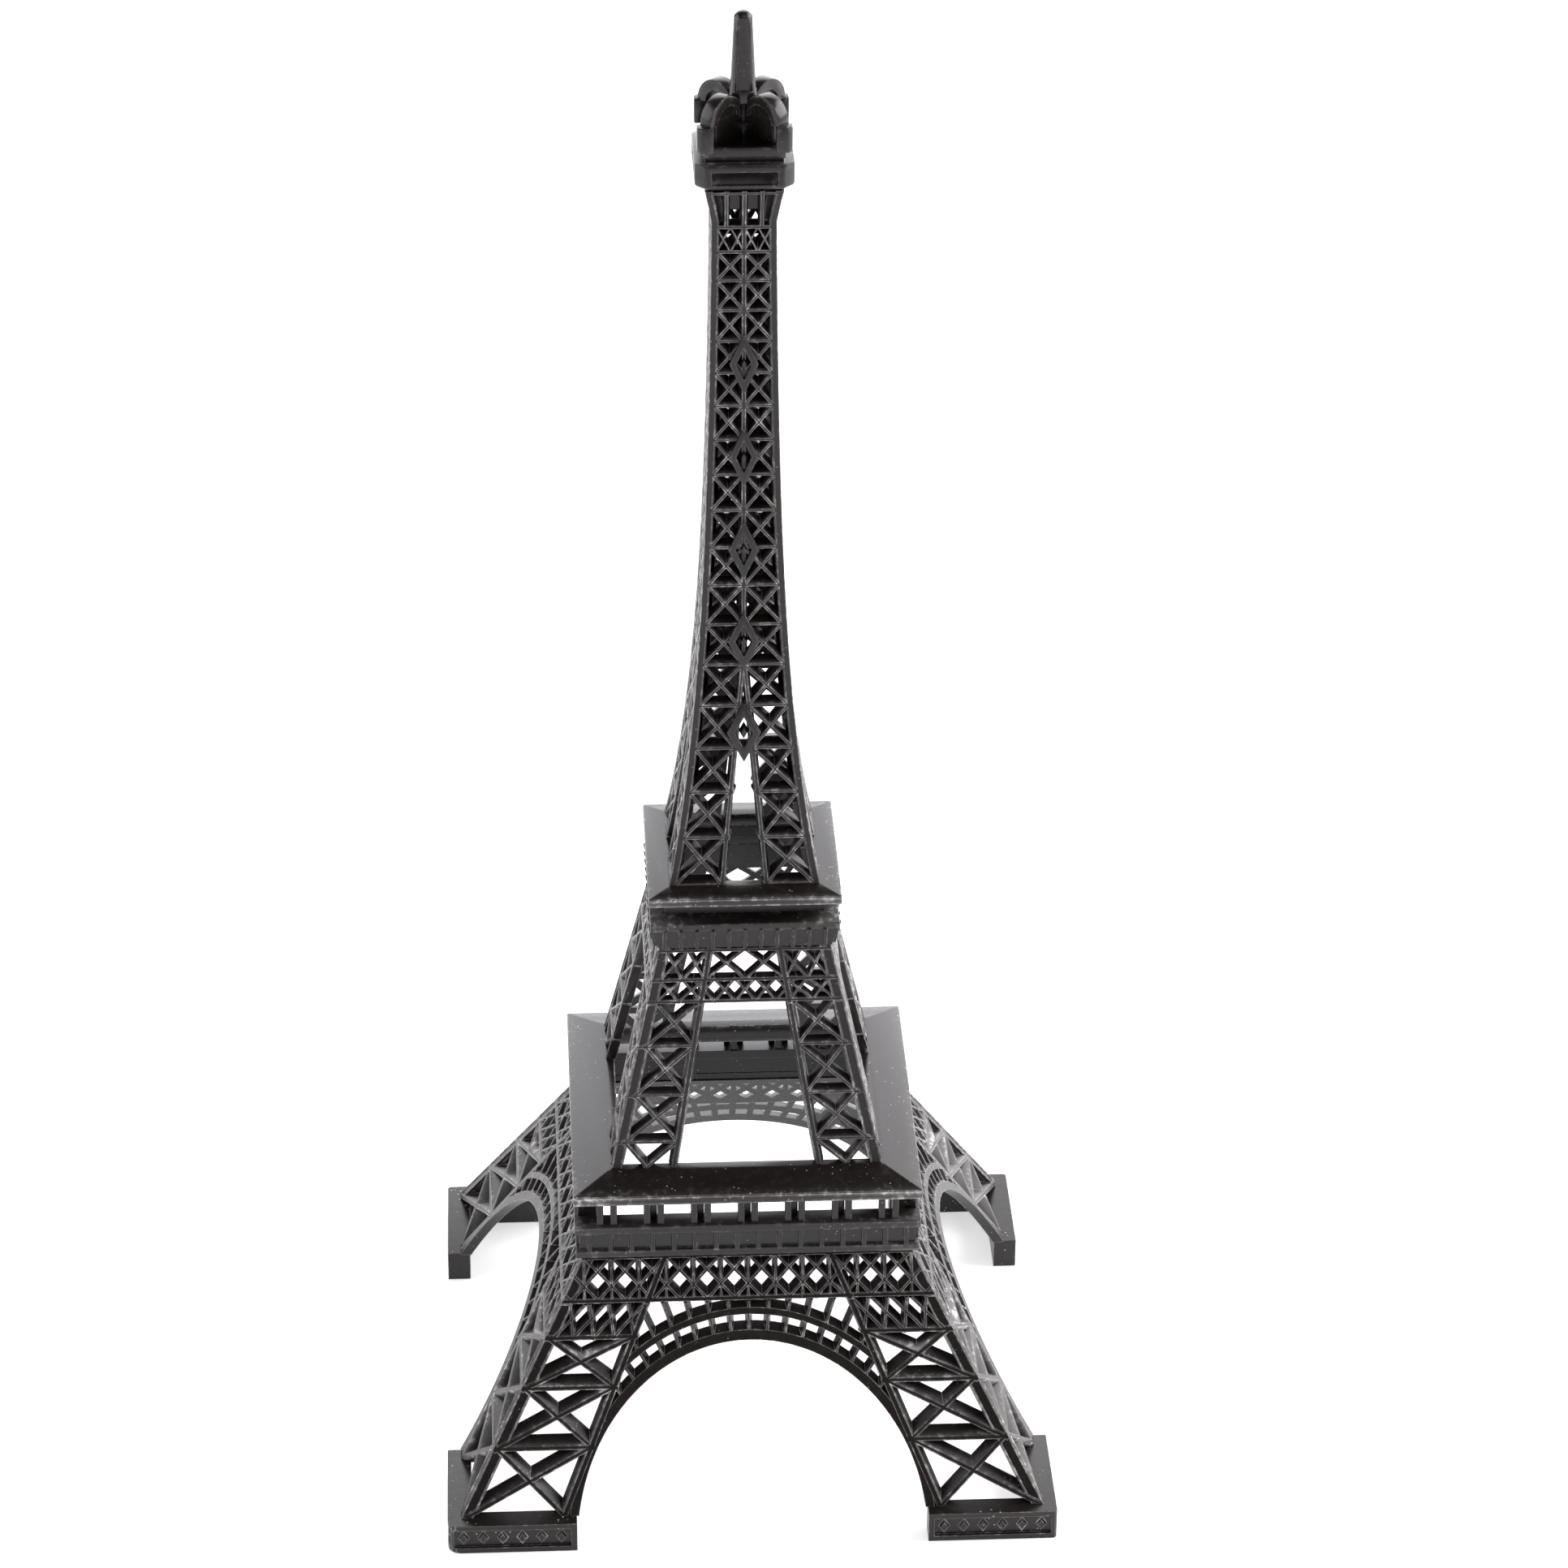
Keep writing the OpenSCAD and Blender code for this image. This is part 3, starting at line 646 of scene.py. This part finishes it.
def belt_wall():
    """The belt at the top of the middle storey: three rails with crossed bars between them."""
    pitch = 2.4
    low, top = BELT_Z + 0.4, FLOOR2_Z - 0.4
    members = [lay(STRAP, (-14, z), (14, z), 0.8, BELT_DEPTH, 0) for z in (low, BELT_RAIL_Z, top)]
    for i in range(-2, 3):
        x0, x1 = (i - 0.5) * pitch, (i + 0.5) * pitch
        members += lay_cross(
            (x0, low), (x1, low), (x0, BELT_RAIL_Z), (x1, BELT_RAIL_Z), BELT_BAR, BELT_DEPTH
        )
    for side in (-1, 1):
        members += lay_cross(
            (0, BELT_RAIL_Z), (side * mid_post(BELT_RAIL_Z), BELT_RAIL_Z),
            (0, top), (side * mid_post(top), top), BELT_BAR, BELT_DEPTH,
        )
        for za, zb in ((low, BELT_RAIL_Z), (BELT_RAIL_Z, top)):
            for i in range(2):
                bl, br, tl, tr = [
                    (side * x, z)
                    for z in (za, zb)
                    for x in share_out(mid_post(z), mid_w(z) - 1, i, 2)
                ]
                members += lay_cross(bl, br, tl, tr, BELT_BAR, BELT_DEPTH)
        p, q = [(side * mid_post(z), z) for z in (BELT_Z - 1, FLOOR2_Z + 1)]
        members.append(lay(STRAP, p, q, 1.1, BELT_DEPTH, 0))
        members += corner_strip(mid_w, BELT_Z, FLOOR2_Z, side, MID_DEPTH, MID_CORNER_FACE)
    return set_up(members, mid_w, BELT_Z, FLOOR2_Z, [-1, 1])


# ---------------------------------------------------------------- shaft
def shaft_wall():
    """One curved face of the shaft, forked at the bottom, with slots under the capital."""
    lengths = 22
    heights = [between(SHAFT_Z - 1, CAPITAL_Z, i / lengths) for i in range(lengths + 1)]
    fork = shaft_row(FORK_ROW)
    members = []
    for side in (-1, 1):
        for za, zb in zip(heights, heights[1:]):
            p, q = [(side * (shaft_w(z) - 0.05), z) for z in (za, zb)]
            members.append(lay(POST, p, q, 2.1, SHAFT_DEPTH, 0.12))
        for i in range(SHAFT_ROWS):
            za, zb = shaft_row(i), shaft_row(i + 1)
            inner = [(side * shaft_post(z), z) for z in (za, zb)]
            outer = [(side * (shaft_w(z) - 0.6), z) for z in (za, zb)]
            members += lay_cross(inner[0], outer[0], inner[1], outer[1], SHAFT_BAR, SHAFT_DEPTH)
            members.append(lay(RIB, inner[0], outer[0], SHAFT_BAR, SHAFT_DEPTH))
        edge = shaft_w(CROSSES_TOP) - 0.6
        for x in (0, edge / 2):
            members += lay_cross(
                (side * x, CROSSES_TOP), (side * (x + edge / 2), CROSSES_TOP),
                (side * x, SLOTS_Z), (side * (x + edge / 2), SLOTS_Z), 0.6, SHAFT_DEPTH,
            )
        p, q = [(side * 1.96, z) for z in (SLOTS_Z, CAPITAL_Z)]
        members.append(lay(STRAP, p, q, 0.85, SHAFT_DEPTH, 0))
        p, q = (side * shaft_post(SHAFT_Z), SHAFT_Z), (side * 0.1, fork)
        members.append(lay(STRAP, p, q, 0.95, SHAFT_DEPTH, 0.4))
    for x, z, width in (
        (3.2, CROSSES_TOP, 0.8), (3.4, SLOTS_Z, 0.8), (4, CAPITAL_Z - 0.3, 0.7)
    ):
        members.append(lay(STRAP, (-x, z), (x, z), width, SHAFT_DEPTH, 0))
    members.append(lay(STRAP, (0, fork), (0, CAPITAL_Z), 0.95, SHAFT_DEPTH, 0))
    for i in (3, 4):
        z = shaft_row(i)
        members.append(lay(STRAP, (-shaft_post(z), z), (shaft_post(z), z), 0.8, SHAFT_DEPTH, 0))
    return set_up(members, shaft_w, SHAFT_Z, CAPITAL_Z, [-1, 1], heights[1:-1])


def medallion(width, z):
    """A raised lozenge frame with a small lozenge in it."""
    height, proud, root = 7.3, 0.45, 0.3
    middle = (0, (root - proud) / 2, z)
    lay_aside()
    bpy.ops.mesh.primitive_cylinder_add(
        vertices=4, radius=1, depth=proud + root, location=middle,
        rotation=(math.pi / 2, 0, 0), scale=(width / 2, height / 2, 1),
    )
    plate = settled()
    lay_aside()
    bpy.ops.mesh.primitive_cylinder_add(
        vertices=4, radius=1, depth=3, location=(0, 0, z),
        rotation=(math.pi / 2, 0, 0), scale=(width * 0.26, height * 0.26, 1),
    )
    cut_out(plate, settled())
    soften(plate, 0.1)
    piece = join([plate, lozenge(middle, width * 0.15, height * 0.15, proud + root, 0.45)])
    lean(piece, shaft_w)
    return piece


# ---------------------------------------------------------------- head
def capital():
    """A slab with cut corners and a sunk slot on each side, over a spigot inside the shaft."""
    slab_z = CAPITAL_Z + 0.6
    neck = stepped_block([(4.1, CAPITAL_Z), (4.3, CAPITAL_Z + 0.3), (4.3, BALCONY_Z)])
    slab = stepped_block([(5.5, slab_z), (5.5, CAPITAL_Z + 3.4)])
    pick_uprights(slab, 5.4)
    bpy.ops.mesh.bevel(offset=1.15, segments=1, affect="EDGES")
    done()
    for k in range(4):
        slot = block(-3.6, 3.6, -6.5, -5.1, CAPITAL_Z + 1.2, CAPITAL_Z + 2.65)
        for vertex in slot.data.vertices:
            if vertex.co.y > -6 and vertex.co.z > CAPITAL_Z + 2:
                vertex.co.y = -4.4
        cut_out(slab, turned_and_dropped(slot, k))
    pick(slab, "edges", lambda e: all(end.z < slab_z + 0.01 for end in ends(slab, e)))
    bpy.ops.mesh.bevel(offset=0.45, segments=4, affect="EDGES")
    done()
    soften(slab, 0.13)
    spigot = block(-2.3, 2.3, -2.3, 2.3, CAPITAL_Z - 3, CAPITAL_Z + 0.1)
    return join([neck, slab, spigot])


def balcony():
    """A parapet set back from the slab, and four corner posts that the ribs spring from."""
    rail = stepped_block([(4.5, BALCONY_Z), (4.5, BALCONY_Z + 1.3)])
    cut_out(rail, block(-3.6, 3.6, -3.6, 3.6, BALCONY_Z + 0.4, SPRING_Z))
    soften(rail, 0.12)
    post = block(3.4, 5.25, -5.25, -3.4, BALCONY_Z + 0.9, SPRING_Z)
    pick_uprights(post, 5.2)
    bpy.ops.mesh.bevel(offset=0.5, segments=1, affect="EDGES")
    done()
    soften(post, 0.18)
    return join([rail] + four(post))


def roller(x, half_width, height, thickness):
    """An oval disc on edge, centred at the height that the ribs spring from."""
    lay_aside()
    bpy.ops.mesh.primitive_cylinder_add(
        vertices=64, radius=1, depth=thickness, location=(x, 0, SPRING_Z),
        rotation=(math.pi / 2, 0, 0), scale=(half_width, height, 1),
    )
    return settled()


def lantern():
    """Four round ribs from the corner posts up and over to a hub, each closed by a thin web."""
    rib = cut_out(roller(3.4, 2.65, 2.85, 1.6), roller(3.1, 1.75, 1.7, 3))
    trim(rib, (0, 0, SPRING_Z - 0.05), (0, 0, -1))
    trim(rib, (1.3, 0, 0), (-1, 0, 0))
    soften(rib, 0.2, 2, 40)
    web = fuse([
        block(0.5, 4.75, -0.35, 0.35, BALCONY_Z + 0.35, SPRING_Z + 0.3),
        block(0.5, 1.9, -0.34, 0.34, SPRING_Z, SPRING_Z + 1.6),
        trim(roller(3.1, 1.9, 1.85, 0.66), (0, 0, SPRING_Z), (0, 0, -1)),
    ])
    for piece in (rib, web):
        piece.data.transform(Matrix.Rotation(math.radians(-45), 4, "Z"))
    lay_aside()
    bpy.ops.mesh.primitive_cylinder_add(
        vertices=48, radius=1.5, depth=1.4, location=(0, 0, CROWN_Z - 0.7)
    )
    return fuse([soften(settled(), 0.15)] + four(rib) + four(web))


def core():
    """A post set cornerwise on a wider base, in the middle of the lantern."""
    post = block(-0.6, 0.6, -0.6, 0.6, BALCONY_Z + 0.3, SPRING_Z + 1.4)
    base = block(-1.1, 1.1, -1.1, 1.1, BALCONY_Z + 0.3, 167.3)
    for piece in (post, base):
        piece.data.transform(Matrix.Rotation(math.radians(45), 4, "Z"))
    return join([soften(post, 0.12), soften(base, 0.14)])


def mast():
    """A tapered blade, flattened in front and behind, with a rounded tip."""
    low, high = CROWN_Z - 0.35, TIP_Z - 0.7
    lay_aside()
    bpy.ops.mesh.primitive_cone_add(
        vertices=32, radius1=1.45, radius2=1.02, depth=high - low,
        location=(0, 0, (low + high) / 2),
    )
    blade = settled()
    pick(blade, "polygons", lambda f: f.normal.z > 0.9)
    for inset, lift in ((0.16, 0.24), (0.24, 0.22), (0.28, 0.12)):
        bpy.ops.mesh.inset(thickness=inset)
        bpy.ops.transform.translate(value=(0, 0, lift))
    done()
    root = CROWN_Z - 0.7
    stretch = (TIP_Z - root) / (max(v.co.z for v in blade.data.vertices) - root)
    for vertex in blade.data.vertices:
        vertex.co.z = root + (vertex.co.z - root) * stretch
        vertex.co.y = max(-1.1, min(1.1, vertex.co.y))
    use(blade, "SUBSURF", levels=1, render_levels=1, subdivision_type="SIMPLE")
    return blade


# ---------------------------------------------------------------- finishes
class Port:
    """A socket of a finish, that sums can be written on."""

    def __init__(self, finish, socket):
        self.finish, self.socket = finish, socket

    def sum(self, operation, a, b):
        return self.finish.add("ShaderNodeMath", {"operation": operation}, {0: a, 1: b})

    def __add__(self, other):
        return self.sum("ADD", self, other)

    def __radd__(self, other):
        return self.sum("ADD", other, self)

    def __sub__(self, other):
        return self.sum("SUBTRACT", self, other)

    def __rsub__(self, other):
        return self.sum("SUBTRACT", other, self)

    def __mul__(self, other):
        return self.sum("MULTIPLY", self, other)

    def __rmul__(self, other):
        return self.sum("MULTIPLY", other, self)


class Finish:
    """A material and its nodes."""

    def __init__(self, name):
        self.material = bpy.data.materials.new(name)
        self.material.use_nodes = True
        self.nodes = self.material.node_tree.nodes
        self.links = self.material.node_tree.links
        self.shader = self.nodes["Principled BSDF"]
        self.place = self.add("ShaderNodeTexCoord", out="Object")

    def add(self, kind, settings=None, values=None, out=0):
        """Any node: its settings first, then the values or links of its sockets."""
        node = self.nodes.new(kind)
        for name, value in (settings or {}).items():
            setattr(node, name, value)
        for name, value in (values or {}).items():
            self.feed(node.inputs[name], value)
        return Port(self, node.outputs[out])

    def feed(self, socket, value):
        """Link a port to a socket, or set a plain value on it."""
        if isinstance(value, Port):
            self.links.new(value.socket, socket)
        else:
            socket.default_value = value

    def noise(self, scale, detail):
        return self.add(
            "ShaderNodeTexNoise", None,
            {"Vector": self.place, "Scale": scale, "Detail": detail, "Roughness": 0.55}, "Fac",
        )

    def ease(self, value, low, high):
        """0 below low and 1 above high, with a soft step between."""
        return self.add(
            "ShaderNodeMapRange", {"interpolation_type": "SMOOTHSTEP"},
            {"Value": value, "From Min": low, "From Max": high},
        )

    def blend(self, share, a, b):
        """Colour a, with a share of colour b."""
        return self.add("ShaderNodeMix", {"data_type": "RGBA"}, {0: share, 6: a, 7: b}, 2)


def blackened(name, gloss, wear_and_highlight, dust, grain):
    """Satin black paint over a casting: mottled, a little dusty, rubbed bare along its edges,
    where a light grey is partly rubbed paint and partly a painted highlight that the ridges catch.
    """
    f = Finish(name)
    fine = f.noise(7000, 2)
    mottle = f.noise(1100, 4)
    cloud = f.noise(140, 2)
    rounded = f.add("ShaderNodeBevel", {"samples": 4}, {"Radius": 0.00012})
    flat = f.add("ShaderNodeNewGeometry", out="True Normal")
    turn = f.add(
        "ShaderNodeVectorMath", {"operation": "DOT_PRODUCT"}, {0: rounded, 1: flat}, "Value"
    )
    edge = f.ease(1 - turn, 0.003, 0.05)
    # the edge mask carries a light grey that is partly rubbed paint and partly a painted highlight
    # along ridges and edges
    rubbed_and_highlit = edge * (0.55 + 0.45 * f.ease(mottle, 0.42, 0.6)) * wear_and_highlight
    bare = edge * f.ease(mottle + 0.3 * cloud, 0.70, 0.80) * wear_and_highlight
    cells = f.add(
        "ShaderNodeTexVoronoi", {"feature": "F1"}, {"Vector": f.place, "Scale": 1500.0}, "Distance"
    )
    specks = (1 - f.ease(cells, 0.10, 0.17)) * f.ease(f.noise(330, 1), 0.54, 0.6) * dust
    black = f.blend(cloud, (0.009, 0.0065, 0.006, 1), (0.016, 0.0125, 0.012, 1))
    black = f.blend(f.ease(mottle, 0.45, 0.8) * 0.5, black, (0.028, 0.023, 0.022, 1))
    # light grey on every edge: rubbed paint, and a painted highlight standing in for light caught
    # by the rounded ridges
    metal = f.blend(rubbed_and_highlit, black, (0.50, 0.48, 0.48, 1))
    metal = f.blend(bare, metal, (0.85, 0.82, 0.80, 1))
    colour = f.blend(specks, metal, (0.62, 0.60, 0.58, 1))
    f.feed(f.shader.inputs["Base Color"], colour)
    f.feed(f.shader.inputs["Roughness"], gloss + 0.16 * mottle + 0.2 * rubbed_and_highlit)
    f.shader.inputs["IOR"].default_value = 1.42
    height = mottle * 0.5 + fine * 0.3
    bump = f.add(
        "ShaderNodeBump", None,
        {"Strength": grain, "Distance": 0.00006, "Height": height, "Normal": rounded},
    )
    f.feed(f.shader.inputs["Normal"], bump)
    return f.material


LATTICE = blackened("blackened_lattice", gloss=0.27, wear_and_highlight=0.85, dust=0.3, grain=0.22)
ROOFING = blackened("blackened_roofs", gloss=0.16, wear_and_highlight=0.9, dust=0.6, grain=0.14)
PANELS = blackened("blackened_panels", gloss=0.24, wear_and_highlight=0.2, dust=0.4, grain=0.3)
CASTING = blackened("blackened_feet", gloss=0.24, wear_and_highlight=0.6, dust=0.9, grain=0.6)
HEAD = blackened("blackened_head", gloss=0.16, wear_and_highlight=0.15, dust=0.12, grain=0.2)

# ---------------------------------------------------------------- assembly
feet = [foot(0.45)]  # the front left foot's corner is rounder than the others'
feet += [turned(feet[0], 1), turned(feet[0], 2), turned_and_dropped(foot(1.5), 3)]
legs = four(corner_of(leg_half))
arches = four(arch_wall())
girders = four(girder_wall())
upper_legs = four(corner_of(upper_leg_half))
belts = four(belt_wall())
shafts = four(shaft_wall())
for k, (corner, side) in enumerate(zip(CORNERS, SIDES)):
    hand_in(feet[k], "foot_casting_" + corner, CASTING, ["foot_" + corner])
    hand_in(legs[k], "leg_casting_" + corner, LATTICE, ["leg_" + corner])
    hand_in(upper_legs[k], "upper_leg_casting_" + corner, LATTICE, ["upper_leg_" + corner])
    hand_in(arches[k], "arch_casting_" + side, LATTICE, ["arch_" + side])
    hand_in(girders[k], "girder_casting_" + side, LATTICE, ["girder_" + side])
    hand_in(belts[k], "belt_casting_" + side, LATTICE, ["upper_belt_" + side])
    hand_in(shafts[k], "shaft_casting_" + side, LATTICE, ["shaft_" + side])
hand_in(floor1_band(), "floor1_band", PANELS, ["floor1_frieze"])
hand_in(floor1_posts(), "floor1_posts", PANELS, ["floor1_columns"])
hand_in(
    roof(ROOF1_W, ROOF1_Z, fascia=1.24, slope=4.3, rise=1.06, well=WELL1),
    "floor1_hipped_roof", ROOFING, ["floor1_roof"],
)
hand_in(floor2_band(), "floor2_band", PANELS, ["floor2_frieze"])
hand_in(
    open_well(stepped_block([(WALL2_W, GALLERY2_Z), (WALL2_W, ROOF2_Z)]), WALL2_WELL, 70, 75),
    "floor2_wall", PANELS, ["floor2_gallery_wall"],
)
hand_in(
    roof(ROOF2_W, ROOF2_Z, fascia=1.1, slope=2.4, rise=0.4, well=WELL2),
    "floor2_hipped_roof", ROOFING, ["floor2_roof"],
)
for i, (width, z) in enumerate(
    [(3.3, 139.6), (3.3, 128.2), (3.5, 116.7), (3.7, 105.3), (4.0, 93.9)], 1
):
    hand_in(medallion(width, z), "lozenge_%d" % i, HEAD, ["medallion_%d" % i])
hand_in(capital(), "capital_casting", HEAD, ["capital_box"])
hand_in(balcony(), "balcony_casting", HEAD, ["balcony"])
hand_in(lantern(), "lantern_arches", HEAD, ["lantern_ribs"])
hand_in(core(), "lantern_post", HEAD, ["lantern_core"])
hand_in(mast(), "mast_blade", HEAD, ["mast"])
for pattern in (RIB, STRAP, POST):
    bpy.data.objects.remove(pattern)

# ---------------------------------------------------------------- camera
azimuth, elevation, roll = [math.radians(a) for a in (-3.132, 29.619, 0.392)]
aim = Vector((5.005, 0, 83.378)) * 0.001
distance = 0.65676
back = Vector((
    math.sin(azimuth) * math.cos(elevation),
    -math.cos(azimuth) * math.cos(elevation),
    math.sin(elevation),
))
right = Vector((0, 0, 1)).cross(back).normalized()
up = back.cross(right)
right, up = (
    right * math.cos(roll) + up * math.sin(roll),
    up * math.cos(roll) - right * math.sin(roll),
)
lens = bpy.data.cameras.new("camera")
lens.lens = 128.86
lens.sensor_width = 36
camera = bpy.data.objects.new("camera", lens)
bpy.context.scene.collection.objects.link(camera)
turn = Matrix((right, up, back)).transposed().to_4x4()
camera.matrix_world = Matrix.Translation(aim + back * distance) @ turn
bpy.context.scene.camera = camera

# ---------------------------------------------------------------- floor and light
lay_aside()
bpy.ops.mesh.primitive_circle_add(
    vertices=96, radius=6, fill_type="NGON", location=(0, 0, -0.00005)
)
floor = bpy.context.object
floor.name = "pale_floor"
pale = Finish("pale_floor")
pale.shader.inputs["Roughness"].default_value = 0.9
pale.shader.inputs["Specular IOR Level"].default_value = 0.0
pale.feed(
    pale.shader.inputs["Base Color"],
    pale.blend(pale.noise(40, 2), (0.90, 0.90, 0.90, 1), (0.93, 0.93, 0.93, 1)),
)
pale.shader.inputs["Emission Color"].default_value = (1, 1, 1, 1)
pale.shader.inputs["Emission Strength"].default_value = 0.56
floor.data.materials.append(pale.material)


def softbox(name, place, target, width, height, watts, colour=(1, 1, 1)):
    """A soft rectangular light that faces its target and isn't seen itself."""
    light = bpy.data.lights.new(name, "AREA")
    light.shape, light.size, light.size_y = "RECTANGLE", width, height
    light.energy, light.color = watts, colour
    holder = bpy.data.objects.new(name, light)
    bpy.context.scene.collection.objects.link(holder)
    holder.location = place
    holder.rotation_euler = (Vector(target) - Vector(place)).to_track_quat("-Z", "Y").to_euler()
    holder.visible_camera = False


softbox("left_softbox", (-1.1, 0.1, 0.55), (0, 0, 0.05), 1.2, 0.9, 10.5, (0.96, 0.96, 1))
softbox("right_softbox", (1.1, 0.2, 0.65), (0, 0, 0.05), 1.2, 0.9, 26)
softbox("back_softbox", (0.25, 1.6, 0.75), (0, 0, 0.1), 2.8, 1.4, 40, (0.98, 0.97, 1))
softbox("front_softbox", (0.15, -0.62, 1.0), (0, 0, 0.08), 0.8, 0.8, 1.8)

# a dim room for the light it gives, and white paper where the camera looks past the floor
world = bpy.data.worlds.new("studio")
bpy.context.scene.world = world
world.use_nodes = True
tree = world.node_tree
studio = tree.nodes["Background"]
studio.inputs["Color"].default_value = (1, 1, 1, 1)
studio.inputs["Strength"].default_value = 0.072
paper = tree.nodes.new("ShaderNodeBackground")
paper.inputs["Strength"].default_value = 1.0
seen = tree.nodes.new("ShaderNodeLightPath")
mixed = tree.nodes.new("ShaderNodeMixShader")
tree.links.new(seen.outputs["Is Camera Ray"], mixed.inputs[0])
tree.links.new(studio.outputs[0], mixed.inputs[1])
tree.links.new(paper.outputs[0], mixed.inputs[2])
tree.links.new(mixed.outputs[0], tree.nodes["World Output"].inputs[0])
bpy.context.scene.view_settings.view_transform = "Standard"
